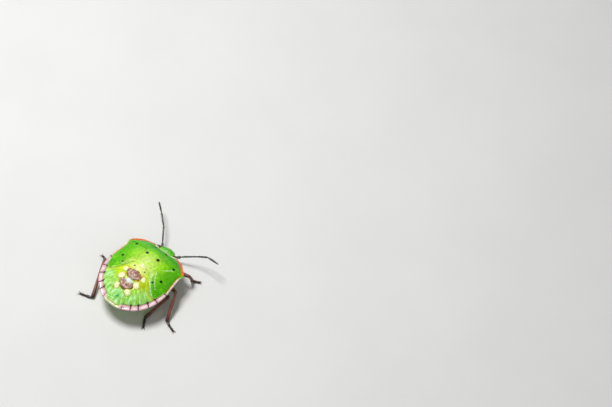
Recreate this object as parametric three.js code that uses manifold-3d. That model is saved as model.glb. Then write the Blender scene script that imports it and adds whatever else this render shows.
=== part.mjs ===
// A green stink bug nymph of the last instar, life size, standing with its head bent down.
// Millimetres. X is the bug's right, Y the way it faces and Z up from the floor.
// The last lines move it so that the origin is under the middle of its bounding box.
import * as THREE from "three";
import { mergeVertices } from "three/addons/utils/BufferGeometryUtils.js";
import Module from "manifold-3d";

const wasm = await Module();
wasm.setup();

// The gap between nodes that touch, and the smaller one round an eye
const GAP = 0.3;
const EYE_GAP = 0.2;

// The flattened side margin of the body runs all the way round at this height
const MARGIN_HEIGHT = 2.05;
const MARGIN_EDGE = 0.26;
const BODY_REAR = -6.5;
const BODY_FRONT = 1.37;

// The abdomen's outline is an ellipse that is a little square behind
const ABDOMEN_HALF_WIDTH = 3.3;
const ABDOMEN_WIDEST = -2.6;
const ABDOMEN_SQUARENESS = 2.15;

// From the widest place forward: [y, half width], with the shoulder corner at y = -0.1
const THORAX_HALF_WIDTHS = [
  [-2.6, 3.3],
  [-1.5, 3.17],
  [-0.6, 3.08],
  [-0.1, 3.12],
  [0.12, 3.0],
  [0.43, 2.7],
  [0.93, 2.12],
  [1.23, 1.56],
  [1.37, 1.3],
];

// Height of the margin and of the midline above MARGIN_HEIGHT: [y, height]
const MARGIN_DROPS = [
  [-6.5, 0],
  [0.2, 0],
  [0.45, -0.06],
  [0.93, -0.24],
  [1.23, -0.45],
  [1.37, -0.55],
];
const MIDLINE_HEIGHTS = [
  [-6.5, 0.04],
  [-6.2, 0.2],
  [-5.6, 0.5],
  [-4.7, 0.86],
  [-3.8, 1.08],
  [-2.9, 1.19],
  [-1.9, 1.2],
  [-0.75, 1.05],
  [0, 0.76],
  [0.62, 0.34],
  [1.15, -0.08],
  [1.37, -0.24],
];
const BELLY_DEPTHS = [
  [-6.5, 0.02],
  [-6.0, 0.3],
  [-5.0, 0.62],
  [-3.6, 0.8],
  [-1.0, 0.8],
  [0.6, 0.66],
  [1.37, 0.4],
];
const DOME_FALL = 1.15;

// The pronotum's rear edge, nearly straight across
const PRONOTUM_REAR_MIDDLE = -0.25;
const PRONOTUM_REAR_CORNER = -0.04;
const SHOULDER_HALF_WIDTH = 3.12;

// The thorax below, the scutellum's rounded tip and the two wing pads above
const THORAX_REAR = -2.1;
const SCUTELLUM_TIP = [[-0.95, -1.6], [-0.6, -2.2], [0, -2.42], [0.6, -2.2], [0.95, -1.6]];
const WING_PAD = [
  [0.9, -1.5],
  [1.2, -2.35],
  [1.6, -3.15],
  [2.05, -3.66],
  [2.5, -3.76],
  [2.85, -3.4],
  [3.02, -2.7],
  [3.0, -1.5],
];
const PAD_RAISE = 0.1;
const PAD_THICKNESS = 0.3;

// Raised plates of the scent glands on the back of the abdomen
const GLAND_PLATES = [
  { y: -3.4, halfWidth: 0.7, length: 0.46, rise: 0.12 },
  { y: -4.5, halfWidth: 0.62, length: 0.4, rise: 0.12 },
];

// The head hangs from the neck, tilted down from level by HEAD_TILT
const NECK = new THREE.Vector3(0, 1.15, 1.33);
const HEAD_TILT = THREE.MathUtils.degToRad(42);
const HEAD_LENGTH = 1.28;
const HEAD_HALF_WIDTHS = [
  [0, 0.6],
  [0.16, 0.82],
  [0.42, 0.86],
  [0.74, 0.72],
  [1.0, 0.6],
  [1.2, 0.4],
  [1.28, 0.2],
];
const HEAD_HALF_THICKNESSES = [
  [0, 0.34],
  [0.35, 0.42],
  [0.8, 0.34],
  [1.28, 0.16],
];
const EYE = { along: 0.34, side: 0.97, halfWidth: 0.26, halfLength: 0.27, halfHeight: 0.25, base: 0.8 };

// Radii of the limbs: [coxa, trochanter, femur, knee, ankle, toe joint, toe]
const LEG_RADII = [0.28, 0.25, 0.27, 0.25, 0.24, 0.22, 0.12];
const FOOT_HEIGHT = 0.2;
const TOE_HEIGHT = 0.1;
const COXA_TOP = 1.02;
const COXA_SIDE = 0.72;
const TROCHANTER = { side: 1.05, height: 0.8 };

// Where each leg leaves the body and where it bends
const RIGHT = 1;
const LEFT = -1;
const LEGS = [
  {
    name: "front_right", side: RIGHT, coxa: 0.3,
    knee: [3.3, 0.63, 1.5], ankle: [3.32, 1.15], toe: [4.04, 1.57],
  },
  {
    name: "mid_right", side: RIGHT, coxa: -0.75,
    knee: [3.46, -1.51, 1.5], ankle: [4.31, -3.75], toe: [5.52, -4.15],
  },
  {
    name: "hind_right", side: RIGHT, coxa: -1.75,
    knee: [3, -1.95, 0.75], ankle: [2.57, -4.7], toe: [3.16, -5.69],
  },
  {
    name: "front_left", side: LEFT, coxa: 0.3,
    knee: [-2.6, 0.35, 1.05], ankle: [-2, 1.35], toe: [-1.55, 2.15],
  },
  {
    name: "mid_left", side: LEFT, coxa: -0.75,
    knee: [-3.2, -0.2, 1.3], ankle: [-3.55, -2.37], toe: [-4.79, -2.05],
  },
  {
    name: "hind_left", side: LEFT, coxa: -1.75,
    knee: [-3.8, -2.85, 1.2], ankle: [-2.35, -6.18], toe: [-3.68, -6.54],
  },
];

// Each feeler's joints from its root under the head to its tip
const ANTENNAE = [
  {
    name: "left",
    joints: [
      [-0.98, 1.88, 0.72],
      [-1.12, 2.24, 0.86],
      [-2.05, 3.5, 1.3],
      [-3.05, 4.38, 1.6],
      [-3.95, 5.15, 1.5],
    ],
  },
  {
    name: "right",
    joints: [
      [0.98, 1.88, 0.72],
      [1.2, 2.14, 0.88],
      [2.4, 2.82, 1.35],
      [3.45, 3.1, 1.95],
      [4.63, 2.99, 2.2],
    ],
  },
];
const ANTENNA_RADIUS = 0.25;
const ANTENNA_TIP_RADIUS = 0.14;

// The beak folds back under the head and runs between the coxae
const ROSTRUM_JOINTS = [[0, 1.92, 0.4], [0, 1.2, 0.42], [0, -0.2, 0.46], [0, -1.4, 0.5]];
const ROSTRUM_RADII = [0.24, 0.24, 0.22, 0.12];

// Turns [y, value] points into a smooth function of y
function profile(points) {
  const places = points.map((point) => point[0]);
  const values = points.map((point) => point[1]);
  const curve = new THREE.CubicInterpolant(places, values, 1);
  const first = places[0];
  const last = places[places.length - 1];
  return (y) => curve.evaluate(THREE.MathUtils.clamp(y, first, last))[0];
}

const thoraxHalfWidth = profile(THORAX_HALF_WIDTHS);
const marginDrop = profile(MARGIN_DROPS);
const midlineHeight = profile(MIDLINE_HEIGHTS);
const bellyDepth = profile(BELLY_DEPTHS);

function halfWidth(y) {
  if (y > ABDOMEN_WIDEST) {
    return thoraxHalfWidth(y);
  }
  const toRear = (ABDOMEN_WIDEST - y) / (ABDOMEN_WIDEST - BODY_REAR);
  return ABDOMEN_HALF_WIDTH * Math.sqrt(Math.max(0, 1 - toRear ** ABDOMEN_SQUARENESS));
}

function backHeight(x, y) {
  const across = Math.min(1, Math.abs(x) / Math.max(halfWidth(y), 0.01));
  const margin = marginDrop(y);
  return MARGIN_HEIGHT + margin + (midlineHeight(y) - margin) * (1 - across ** 2) ** DOME_FALL;
}

function bellyHeight(x, y) {
  const across = Math.min(1, Math.abs(x) / Math.max(halfWidth(y), 0.01));
  return MARGIN_HEIGHT + marginDrop(y) - MARGIN_EDGE - bellyDepth(y) * (1 - across ** 2);
}

// A closed three.js geometry as a manifold-3d solid
function solid(geometry) {
  geometry.deleteAttribute("normal");
  geometry.deleteAttribute("uv");
  const merged = mergeVertices(geometry, 1e-4);
  return new wasm.Manifold(new wasm.Mesh({
    numProp: 3,
    vertProperties: new Float32Array(merged.attributes.position.array),
    triVerts: new Uint32Array(merged.index.array),
  }));
}

function union(solids) {
  return solids.reduce((joined, next) => joined.add(next));
}

// Moves every vertex of a unit sphere; place(across, along, up) gives its new position
function reshapedSphere(sides, rings, place) {
  const geometry = new THREE.SphereGeometry(1, sides, rings);
  const positions = geometry.attributes.position;
  for (let i = 0; i < positions.count; i += 1) {
    const ringRadius = Math.hypot(positions.getX(i), positions.getZ(i));
    const isPole = ringRadius < 1e-6;
    const across = isPole ? 0 : positions.getX(i) / ringRadius;
    const up = isPole ? 0 : positions.getZ(i) / ringRadius;
    positions.setXYZ(i, ...place(across, positions.getY(i), up, isPole));
  }
  return solid(geometry);
}

// Thorax and abdomen in one piece, with the back raised or lowered by lift
function bodyShell(lift) {
  const sides = 32;
  const rings = 36;
  return reshapedSphere(sides, rings, (across, along, up, isPole) => {
    const y = THREE.MathUtils.mapLinear(along, -1, 1, BODY_REAR, BODY_FRONT);
    const x = isPole ? 0 : across * Math.max(halfWidth(y), 0.01);
    const back = Math.max(backHeight(x, y) + lift, bellyHeight(x, y) + 0.02);
    if (isPole) {
      return [x, y, (back + bellyHeight(x, y)) / 2];
    }
    return [x, y, up >= -1e-6 ? back : bellyHeight(x, y)];
  });
}

// An upright prism over a plan outline, tall enough to pass right through the body
function prism(outline) {
  const below = 1;
  const shape = new THREE.Shape(outline.map((point) => new THREE.Vector2(...point)));
  const geometry = new THREE.ExtrudeGeometry(shape, { depth: 6, bevelEnabled: false });
  geometry.translate(0, 0, -below);
  return solid(geometry);
}

// Moves each corner of a plan outline outward by grow; the outline runs clockwise or anticlockwise
function grownOutline(outline, grow) {
  const points = outline.map((point) => new THREE.Vector2(...point));
  const outward = Math.sign(THREE.ShapeUtils.area(points));
  return points.map((point, i) => {
    const before = points[(i + points.length - 1) % points.length];
    const after = points[(i + 1) % points.length];
    const along = after.clone().sub(before).normalize();
    return [point.x + outward * grow * along.y, point.y - outward * grow * along.x];
  });
}

// A plan strip from one edge function to another, right across the body
function stripPrism(rearEdge, frontEdge) {
  const reach = 4;
  const steps = 16;
  const xs = Array.from({ length: steps + 1 }, (_, i) => THREE.MathUtils.lerp(-reach, reach, i / steps));
  const rear = xs.map((x) => [x, rearEdge(x)]);
  const front = [...xs].reverse().map((x) => [x, frontEdge(x)]);
  return prism([...rear, ...front]);
}

function pronotumRear(x) {
  const out = Math.min(1, Math.abs(x) / SHOULDER_HALF_WIDTH);
  return THREE.MathUtils.lerp(PRONOTUM_REAR_MIDDLE, PRONOTUM_REAR_CORNER, out ** 2);
}

// The plan of all that lies over the abdomen: scutellum tip and wing pads, grown by a clearance
function padPlan(grow) {
  const slab = stripPrism(() => THORAX_REAR - grow, (x) => pronotumRear(x) - GAP + grow);
  const tip = prism(grownOutline(SCUTELLUM_TIP, grow));
  const pads = [-1, 1].map((side) => prism(grownOutline(WING_PAD.map(([x, y]) => [side * x, y]), grow)));
  return union([slab, tip, ...pads]);
}

// A round bar that narrows from one radius to another, with rounded ends
function bar(from, to, fromRadius, toRadius) {
  const length = from.distanceTo(to);
  const outline = [
    [0, -0.8 * fromRadius],
    [fromRadius, -0.2 * fromRadius],
    [toRadius, length + 0.2 * toRadius],
    [0, length + 0.8 * toRadius],
  ];
  const geometry = new THREE.LatheGeometry(outline.map((point) => new THREE.Vector2(...point)), 8);
  const direction = to.clone().sub(from).normalize();
  const turn = new THREE.Quaternion().setFromUnitVectors(new THREE.Vector3(0, 1, 0), direction);
  geometry.applyQuaternion(turn);
  geometry.translate(from.x, from.y, from.z);
  return solid(geometry);
}

// A chain of bars through the joints
function limb(joints, radii) {
  const points = joints.map((joint) => new THREE.Vector3(...joint));
  const bars = [];
  for (let i = 0; i + 1 < points.length; i += 1) {
    bars.push(bar(points[i], points[i + 1], radii[i], radii[i + 1]));
  }
  return union(bars);
}

function ellipsoid(centre, halfSizes) {
  const geometry = new THREE.SphereGeometry(1, 14, 8);
  geometry.scale(...halfSizes);
  geometry.translate(...centre);
  return solid(geometry);
}

// A box given by its lowest and highest corners
function block(low, high) {
  const geometry = new THREE.BoxGeometry(high[0] - low[0], high[1] - low[1], high[2] - low[2]);
  geometry.translate((low[0] + high[0]) / 2, (low[1] + high[1]) / 2, (low[2] + high[2]) / 2);
  return solid(geometry);
}

const belowFloor = block([-20, -20, -2], [20, 20, 0]);

function legJoints(leg) {
  const [kneeX, kneeY, kneeHeight] = leg.knee;
  const hip = [leg.side * TROCHANTER.side, leg.coxa, TROCHANTER.height];
  const midThigh = [(hip[0] + kneeX) / 2, (leg.coxa + kneeY) / 2, (TROCHANTER.height + kneeHeight) / 2];
  const toeJoint = [
    THREE.MathUtils.lerp(leg.ankle[0], leg.toe[0], 0.55),
    THREE.MathUtils.lerp(leg.ankle[1], leg.toe[1], 0.55),
  ];
  return [
    [leg.side * COXA_SIDE, leg.coxa, COXA_TOP],
    hip,
    midThigh,
    leg.knee,
    [...leg.ankle, FOOT_HEIGHT],
    [...toeJoint, FOOT_HEIGHT],
    [...leg.toe, TOE_HEIGHT],
  ];
}

function legSolid(leg, grow) {
  return limb(legJoints(leg), LEG_RADII.map((radius) => radius + grow));
}

function rostrumSolid(grow) {
  return limb(ROSTRUM_JOINTS, ROSTRUM_RADII.map((radius) => radius + grow));
}

// Places a head point: along from the neck, across to the right and up from its middle plane
function headPlace(across, along, up) {
  return [
    across,
    NECK.y + along * Math.cos(HEAD_TILT) + up * Math.sin(HEAD_TILT),
    NECK.z - along * Math.sin(HEAD_TILT) + up * Math.cos(HEAD_TILT),
  ];
}

const headHalfWidth = profile(HEAD_HALF_WIDTHS);
const headHalfThickness = profile(HEAD_HALF_THICKNESSES);

function headSolid(grow) {
  return reshapedSphere(24, 18, (across, along, up) => {
    const distance = THREE.MathUtils.mapLinear(along, -1, 1, 0, HEAD_LENGTH);
    return headPlace(
      across * (headHalfWidth(distance) + grow),
      distance + along * grow,
      up * (headHalfThickness(distance) + grow),
    );
  });
}

function eyeSolid(side, grow) {
  const flat = EYE.base - grow;
  const ball = ellipsoid(
    headPlace(side * EYE.side, EYE.along, 0.04),
    [EYE.halfWidth + grow, EYE.halfLength + grow, EYE.halfHeight + grow],
  );
  const inner = side > 0 ? block([-3, -5, -5], [flat, 5, 5]) : block([-flat, -5, -5], [3, 5, 5]);
  return ball.subtract(inner);
}

// The pieces of the animal
const legs = LEGS.map((leg) => ({ name: leg.name, body: legSolid(leg, 0).subtract(belowFloor) }));
const legRoom = union(LEGS.map((leg) => legSolid(leg, GAP)));
const rostrumRoom = rostrumSolid(GAP);

const shell = bodyShell(0);
const padTop = bodyShell(PAD_RAISE);
const padFloor = bodyShell(-PAD_THICKNESS);
const roomUnderPads = bodyShell(-PAD_THICKNESS - GAP);
const ahead = () => 4;
const behind = () => -9;

const headRoom = union([headSolid(GAP), eyeSolid(-1, GAP), eyeSolid(1, GAP)]);
const pronotum = shell
  .intersect(stripPrism(pronotumRear, ahead))
  .subtract(headRoom)
  .subtract(legRoom)
  .subtract(rostrumRoom);

const thoraxCore = shell.intersect(stripPrism(() => THORAX_REAR, (x) => pronotumRear(x) - GAP));
const backPlates = padTop.subtract(padFloor).intersect(padPlan(0));
const thorax = thoraxCore.add(backPlates).subtract(legRoom).subtract(rostrumRoom);

const glands = union(GLAND_PLATES.map((plate) => ellipsoid(
  [0, plate.y, backHeight(0, plate.y)],
  [plate.halfWidth, plate.length, plate.rise],
)));
const abdomen = shell
  .intersect(stripPrism(behind, () => THORAX_REAR - GAP))
  .subtract(padPlan(GAP).subtract(roomUnderPads))
  .add(glands)
  .subtract(legRoom);

const antennae = ANTENNAE.map((antenna) => ({
  name: antenna.name,
  body: limb(antenna.joints, [...Array(4).fill(ANTENNA_RADIUS), ANTENNA_TIP_RADIUS]),
}));

const head = headSolid(0)
  .subtract(eyeSolid(-1, EYE_GAP))
  .subtract(eyeSolid(1, EYE_GAP))
  .subtract(rostrumRoom);

// Colours, with the wet gloss of the shell and the duller legs
const paint = (color, roughness) => new THREE.MeshStandardMaterial({ color, roughness, metalness: 0 });
const thoraxGreen = paint(0x4fae18, 0.35);
const abdomenGreen = paint(0xa8cf4a, 0.35);
const eyeBrown = paint(0x2a120c, 0.2);
const legBrown = paint(0x6b3a2a, 0.4);
const feelerBlack = paint(0x10242a, 0.4);

// The largest closed surface of a solid as a named mesh
function node(name, body, material) {
  const pieces = body.decompose().sort((a, b) => b.volume() - a.volume());
  const { vertProperties, triVerts } = pieces[0].getMesh();
  const geometry = new THREE.BufferGeometry();
  geometry.setAttribute("position", new THREE.BufferAttribute(vertProperties, 3));
  geometry.setIndex(new THREE.BufferAttribute(triVerts, 1));
  geometry.computeVertexNormals();
  const mesh = new THREE.Mesh(geometry, material);
  mesh.name = name;
  return mesh;
}

const bug = new THREE.Group();
bug.add(
  node("head", head, thoraxGreen),
  node("pronotum", pronotum, thoraxGreen),
  node("thorax", thorax, thoraxGreen),
  node("abdomen", abdomen, abdomenGreen),
  node("rostrum", rostrumSolid(0), legBrown),
  node("eye_left", eyeSolid(-1, 0), eyeBrown),
  node("eye_right", eyeSolid(1, 0), eyeBrown),
);
for (const antenna of antennae) {
  bug.add(node(`antenna_${antenna.name}`, antenna.body, feelerBlack));
}
for (const leg of legs) {
  bug.add(node(`leg_${leg.name}`, leg.body, legBrown));
}

// The origin goes under the middle of the bounding box, at floor level
const bounds = new THREE.Box3().setFromObject(bug, true);
const middle = bounds.getCenter(new THREE.Vector3());
bug.position.set(-middle.x, -middle.y, -bounds.min.z);
const shieldBug = new THREE.Group();
shieldBug.add(bug);

export default shieldBug;
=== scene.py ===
"""A last-instar nymph of a green stink bug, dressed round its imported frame.

Shapes are worked out in millimetres in the bug's own frame, as the solids are: X is its right,
Y the way it faces, Z up from the floor, and the origin lies under the middle of its shoulders.
to_world() turns them into the frame's metres.
"""

import math

import bpy
import numpy as np
from mathutils import Matrix, Vector


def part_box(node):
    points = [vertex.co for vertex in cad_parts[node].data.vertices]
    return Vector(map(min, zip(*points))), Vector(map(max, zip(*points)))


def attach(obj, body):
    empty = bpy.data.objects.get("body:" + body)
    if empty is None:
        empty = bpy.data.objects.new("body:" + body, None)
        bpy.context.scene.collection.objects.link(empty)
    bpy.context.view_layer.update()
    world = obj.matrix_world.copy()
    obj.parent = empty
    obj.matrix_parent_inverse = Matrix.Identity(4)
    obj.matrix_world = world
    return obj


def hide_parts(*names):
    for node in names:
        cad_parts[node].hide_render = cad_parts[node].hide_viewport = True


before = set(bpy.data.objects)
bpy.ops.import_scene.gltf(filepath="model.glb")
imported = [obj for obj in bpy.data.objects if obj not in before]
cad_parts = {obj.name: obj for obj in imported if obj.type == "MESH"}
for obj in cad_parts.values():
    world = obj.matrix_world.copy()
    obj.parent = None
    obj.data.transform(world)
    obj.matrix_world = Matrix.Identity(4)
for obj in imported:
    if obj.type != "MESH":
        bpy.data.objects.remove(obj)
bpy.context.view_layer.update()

MM = 0.001
rng = np.random.default_rng(7)

# Body form, as in the solids
MARGIN_HEIGHT = 2.05
RIM_RADIUS = 0.07
BODY_REAR = -6.5
BODY_FRONT = 1.37
ABDOMEN_HALF_WIDTH = 3.3
ABDOMEN_WIDEST = -2.6
ABDOMEN_SQUARENESS = 2.15
ABDOMEN_ARC_RADIUS = 3.2
THORAX_HALF_WIDTHS = [
    (-2.6, 3.3), (-1.5, 3.17), (-0.6, 3.08), (-0.1, 3.12), (0.12, 3.0), (0.43, 2.7), (0.93, 2.12),
    (1.23, 1.56), (1.37, 1.3),
]
MARGIN_DROPS = [(-6.5, 0), (0.2, 0), (0.45, -0.06), (0.93, -0.24), (1.23, -0.45), (1.37, -0.55)]
MIDLINE_HEIGHTS = [
    (-6.5, 0.04), (-6.2, 0.2), (-5.6, 0.5), (-4.7, 0.86), (-3.8, 1.06), (-2.9, 1.12), (-1.9, 1.1),
    (-0.75, 0.95), (0, 0.68), (0.62, 0.3), (1.15, -0.1), (1.37, -0.26),
]
BELLY_DEPTHS = [(-6.5, 0.02), (-6.0, 0.3), (-5.0, 0.62), (-3.6, 0.8), (-1.0, 0.8), (0.6, 0.66), (1.37, 0.4)]
DOME_FALL = 1.15

# The plates of the back
PRONOTUM_REAR = [(-3.1, -0.02), (-1.7, -0.3), (0, -0.14), (1.7, -0.3), (3.1, -0.02)]
SCUTELLUM_SIDE = [(1.02, -0.3), (0.95, -1.4), (0.62, -2.16), (0, -2.42)]
WING_PAD_EDGE = [
    (0.62, -2.16), (0.95, -2.3), (1.25, -2.75), (1.62, -3.22), (2.05, -3.66), (2.45, -3.8),
    (2.78, -3.66), (2.96, -3.2), (3.06, -2.7), (3.3, -2.3),
]
# Gland plates: a middle shield and a lobe on each side, as centre and half sizes
GLAND_PLATES = [
    {"y": -3.34, "half_length": 0.5, "ovals": [(0, -3.36, 0.62, 0.52), (0.52, -3.3, 0.27, 0.3)]},
    {"y": -4.48, "half_length": 0.45, "ovals": [(0, -4.5, 0.54, 0.46), (0.42, -4.38, 0.3, 0.3)]},
]
# Joints between the side plates of the abdomen, in degrees round from the tail
SIDE_JOINTS = (18.5, 32, 44, 59, 72, 88.5)

# Marks on the right half of the back, mirrored on the left: x, y, radius
BLACK_DOTS = [
    (0.625, -0.71, 0.15), (2.15, -0.33, 0.12), (2.22, -2.2, 0.125), (1.72, -2.83, 0.09),
    (0.57, -2.53, 0.07), (0.6, 0.58, 0.12),
]
CREAM_SPOTS = [(1.0, -3.24, 0.24), (0.86, -4.03, 0.3), (0.62, -4.98, 0.28)]
ORANGE_SPOTS = [(0.66, -3.7, 0.11), (0.74, -2.98, 0.1), (0.4, -3.02, 0.06)]
# Painted highlights: white streaks of reflected light, on the right wing pad alone
GLINT_STREAKS = [
    [(1.39, -2.87), (1.84, -3.3), (2.37, -3.71)],
    [(1.16, -2.01), (1.38, -2.5), (1.75, -2.93)],
    [(1.38, -1.78), (1.74, -2.5), (2.28, -3.14)],
    [(1.47, -1.4), (1.85, -0.98), (2.18, -0.47)],
]
# Soft patches of relief and colour: the middle's x and y, half width and half length
PAD_CROWN = (2.05, -2.1, 1.15, 1.5)
PAD_LIGHT = (1.1, -1.3, 0.9, 1.4)
BETWEEN_GLANDS = (0, -4.0, 0.4, 0.14)
GLEAM = (0.03, -4.05, 0.42, 0.26)
# Painted shade: an olive patch on the right of the abdomen, where it turns from the light
SHADE_OLIVE_PATCH = (1.45, -3.8, 0.34, 0.6)
BEHIND_SCUTELLUM = (0, -2.6, 1.3, 0.6)
SCUTELLUM_GLOW = (0, -1.5, 1.35, 1.6)
SCUTELLUM_MIDDLE = (0.1, -1.7, 1.0, 1.1)
SCUTELLUM_TIP = (0, -2.3, 1.1, 0.4)
SCUTELLUM_SMOOTH = (0, -1.7, 0.9, 1.0)
PRONOTUM_LIGHT = (0, -0.1, 1.6, 0.35)

# The head, bent down from the neck, and its eyes
HEAD_TILT = math.radians(42)
NECK = (0, 1.15, 1.33)
HEAD_LENGTH = 1.34
HEAD_HALF_WIDTHS = [(0, 0.62), (0.16, 0.82), (0.42, 0.85), (0.74, 0.72), (1.0, 0.62), (1.28, 0.56)]
HEAD_TOPS = [(0, 0.34), (0.35, 0.46), (0.8, 0.42), (1.1, 0.3), (1.34, 0.16)]
HEAD_BOTTOMS = [(0, 0.34), (0.35, 0.42), (0.8, 0.36), (1.1, 0.24), (1.28, 0.14)]
HEAD_ROUND_FRONT = 0.95
EYE_PLACE = (0.9, 0.34, 0.06)
EYE_HALF_SIZES = (0.3, 0.29, 0.26)
FEELER_KNOB = (0.52, 0.72, -0.06)
FEELER_SOCKET = (0.76, 0.86, -0.02)

# Hips, knees, ankles and toes, the feelers' joints and the beak's
COXA_SIDE = 0.66
COXA_HEIGHT = 1.2
HIP = {"side": 1.08, "height": 0.82}
LEGS = {
    "leg_front_right": {
        "side": 1, "coxa": 0.3, "knee": (3.3, 0.63, 1.5), "ankle": (3.32, 1.15), "toe": (4.04, 1.57),
    },
    "leg_mid_right": {
        "side": 1, "coxa": -0.75, "knee": (3.46, -1.51, 1.5), "ankle": (4.31, -3.75), "toe": (5.52, -4.15),
    },
    "leg_hind_right": {
        "side": 1, "coxa": -1.75, "knee": (3, -1.95, 0.75), "ankle": (2.57, -4.7), "toe": (3.16, -5.69),
    },
    "leg_front_left": {
        "side": -1, "coxa": 0.3, "knee": (-2.6, 0.35, 1.05), "ankle": (-2, 1.35), "toe": (-1.55, 2.15),
    },
    "leg_mid_left": {
        "side": -1, "coxa": -0.75, "knee": (-3.2, -0.2, 1.3), "ankle": (-3.55, -2.37), "toe": (-4.79, -2.05),
    },
    "leg_hind_left": {
        "side": -1, "coxa": -1.75, "knee": (-3.8, -2.85, 1.2), "ankle": (-2.35, -6.18), "toe": (-3.68, -6.54),
    },
}
ANKLE_HEIGHT = 0.17
SOLE_HEIGHT = 0.105
CLAW_RADIUS = 0.035
HAIR_RADIUS = 0.0065

ANTENNAE = {
    "antenna_left": [(-0.98, 1.88, 0.72), (-1.12, 2.24, 0.86), (-2.05, 3.5, 1.3), (-3.05, 4.38, 1.6),
                     (-3.95, 5.15, 1.5)],
    "antenna_right": [(0.98, 1.88, 0.72), (1.2, 2.14, 0.88), (2.4, 2.82, 1.35), (3.45, 3.1, 1.95),
                      (4.63, 2.99, 2.2)],
}
ROSTRUM_JOINTS = [(0, 1.9, 0.42), (0, 1.2, 0.4), (0, 0.4, 0.42), (0, -0.5, 0.46), (0, -1.42, 0.52)]

# The photo's view: the camera's axes in the bug's frame, and where the shoulders' middle lies in it
CAMERA_RIGHT = (0.7723, 0.634, 0.048)
CAMERA_UP = (-0.551, 0.630, 0.548)
IMAGE_WIDTH = 612
IMAGE_HEIGHT = 407
SHOULDER_PIXEL = (157.1, 257.6)
PIXELS_PER_MM = 11.0
LENS = 100
SENSOR = 36

# How finely the skin is divided
SKIN_STATIONS = 440
SKIN_ACROSS_BACK = 420
SKIN_ACROSS_BELLY = 200


def srgb(red, green, blue):
    """A colour given in screen values, 0 to 255, as an array from 0 to 1."""
    return np.array([red, green, blue]) / 255


# Colours
THORAX_GREEN = srgb(80, 178, 2)
PRONOTUM_GREEN = srgb(66, 166, 0)
PAD_LIGHT_GREEN = srgb(126, 204, 10)
SCUTELLUM_YELLOW = srgb(158, 208, 30)
SCUTELLUM_PALE = srgb(198, 228, 128)
ABDOMEN_GREEN = srgb(136, 204, 20)
ABDOMEN_YELLOW = srgb(196, 214, 12)
ABDOMEN_MINT = srgb(152, 222, 128)
ABDOMEN_CREAM = srgb(222, 226, 140)
FOLD_PALE = srgb(214, 244, 200)
SHADE_OLIVE = srgb(148, 162, 4)
GLINT_WHITE = srgb(222, 240, 226)
FLECK_YELLOW = srgb(212, 232, 120)
SIDE_PINK = srgb(212, 172, 182)
SIDE_PALE = srgb(232, 216, 220)
JOINT_DARK = srgb(62, 26, 34)
MARGIN_ORANGE = srgb(228, 88, 30)
MARGIN_PINK = srgb(240, 160, 150)
MARGIN_CREAM = srgb(238, 206, 160)
TAIL_CREAM = srgb(222, 226, 182)
PLATE_MAUVE = srgb(142, 100, 90)
PLATE_PINK = srgb(184, 146, 136)
PLATE_EDGE = srgb(66, 32, 18)
CALLUS_CREAM = srgb(236, 238, 184)
PLATE_SHEEN = srgb(240, 208, 200)
GLEAM_WHITE = srgb(238, 248, 250)
SPOT_ORANGE = srgb(226, 134, 44)
DOT_BLACK = srgb(10, 20, 14)
BELLY_GREEN = srgb(138, 196, 62)
BELLY_PALE = srgb(190, 218, 130)
HEAD_GREEN = srgb(62, 172, 14)
EYE_BROWN = srgb(70, 24, 18)
HAIR_BROWN = srgb(120, 84, 60)
HAIR_PALE = srgb(190, 180, 150)
LEG_GREEN = srgb(120, 130, 52)
LEG_BROWN = srgb(140, 76, 58)
LEG_DARK = srgb(80, 36, 34)
LEG_BLACK = srgb(14, 18, 22)
FEELER_TEAL = srgb(20, 66, 62)
FEELER_BLACK = srgb(10, 24, 30)
FEELER_GREEN = srgb(58, 96, 48)
TAIL_SPOT_GREEN = srgb(20, 140, 60)
PAD_MARGIN_CREAM = srgb(236, 222, 206)
COLLAR_HIGHLIGHT = srgb(236, 244, 214)
SIDE_RED = srgb(196, 110, 112)
SIDE_LILAC = srgb(168, 150, 190)
EYE_RIM = srgb(150, 96, 60)
EYE_FRONT = srgb(24, 8, 10)
CLAW_BROWN = srgb(70, 30, 18)
SOLE_BROWN = srgb(96, 84, 60)
SOLE_PALE = srgb(150, 140, 110)
BEAK_OLIVE = srgb(170, 160, 90)
BEAK_BROWN = srgb(110, 70, 50)
BEAK_TIP = srgb(20, 12, 10)
KNUCKLE_BROWN = srgb(140, 110, 80)


def curve(points):
    """A smooth function through (place, value) points, level beyond its ends."""
    places, values = np.array(sorted(points), float).T
    slopes = np.gradient(values, places)

    def at(place):
        place = np.clip(place, places[0], places[-1])
        i = np.clip(np.searchsorted(places, place, side="right") - 1, 0, len(places) - 2)
        width = places[i + 1] - places[i]
        t = (place - places[i]) / width
        start = (1 + 2 * t) * (1 - t) ** 2 * values[i] + t * (1 - t) ** 2 * width * slopes[i]
        end = t**2 * (3 - 2 * t) * values[i + 1] + t**2 * (t - 1) * width * slopes[i + 1]
        return start + end

    return at


def ramp(value, low, high):
    """0 below low and 1 above high, with a smooth rise between."""
    t = np.clip((value - low) / (high - low), 0, 1)
    return t * t * (3 - 2 * t)


def bump(distance, width):
    """1 at distance 0, falling smoothly to nothing over about twice the width."""
    return np.exp(-((distance / width) ** 2))


def oval(x, y, patch):
    """1 in the middle of a patch, fading out past its half sizes."""
    centre_x, centre_y, half_x, half_y = patch
    return bump(np.hypot((x - centre_x) / half_x, (y - centre_y) / half_y), 1)


def polyline_distance(x, y, points):
    """The distance from each (x, y) to an open line through points."""
    nearest = np.full(np.broadcast(x, y).shape, 1e9)
    for (ax, ay), (bx, by) in zip(points, points[1:]):
        along_x, along_y = bx - ax, by - ay
        t = np.clip(((x - ax) * along_x + (y - ay) * along_y) / (along_x**2 + along_y**2), 0, 1)
        nearest = np.minimum(nearest, np.hypot(x - ax - t * along_x, y - ay - t * along_y))
    return nearest


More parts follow.
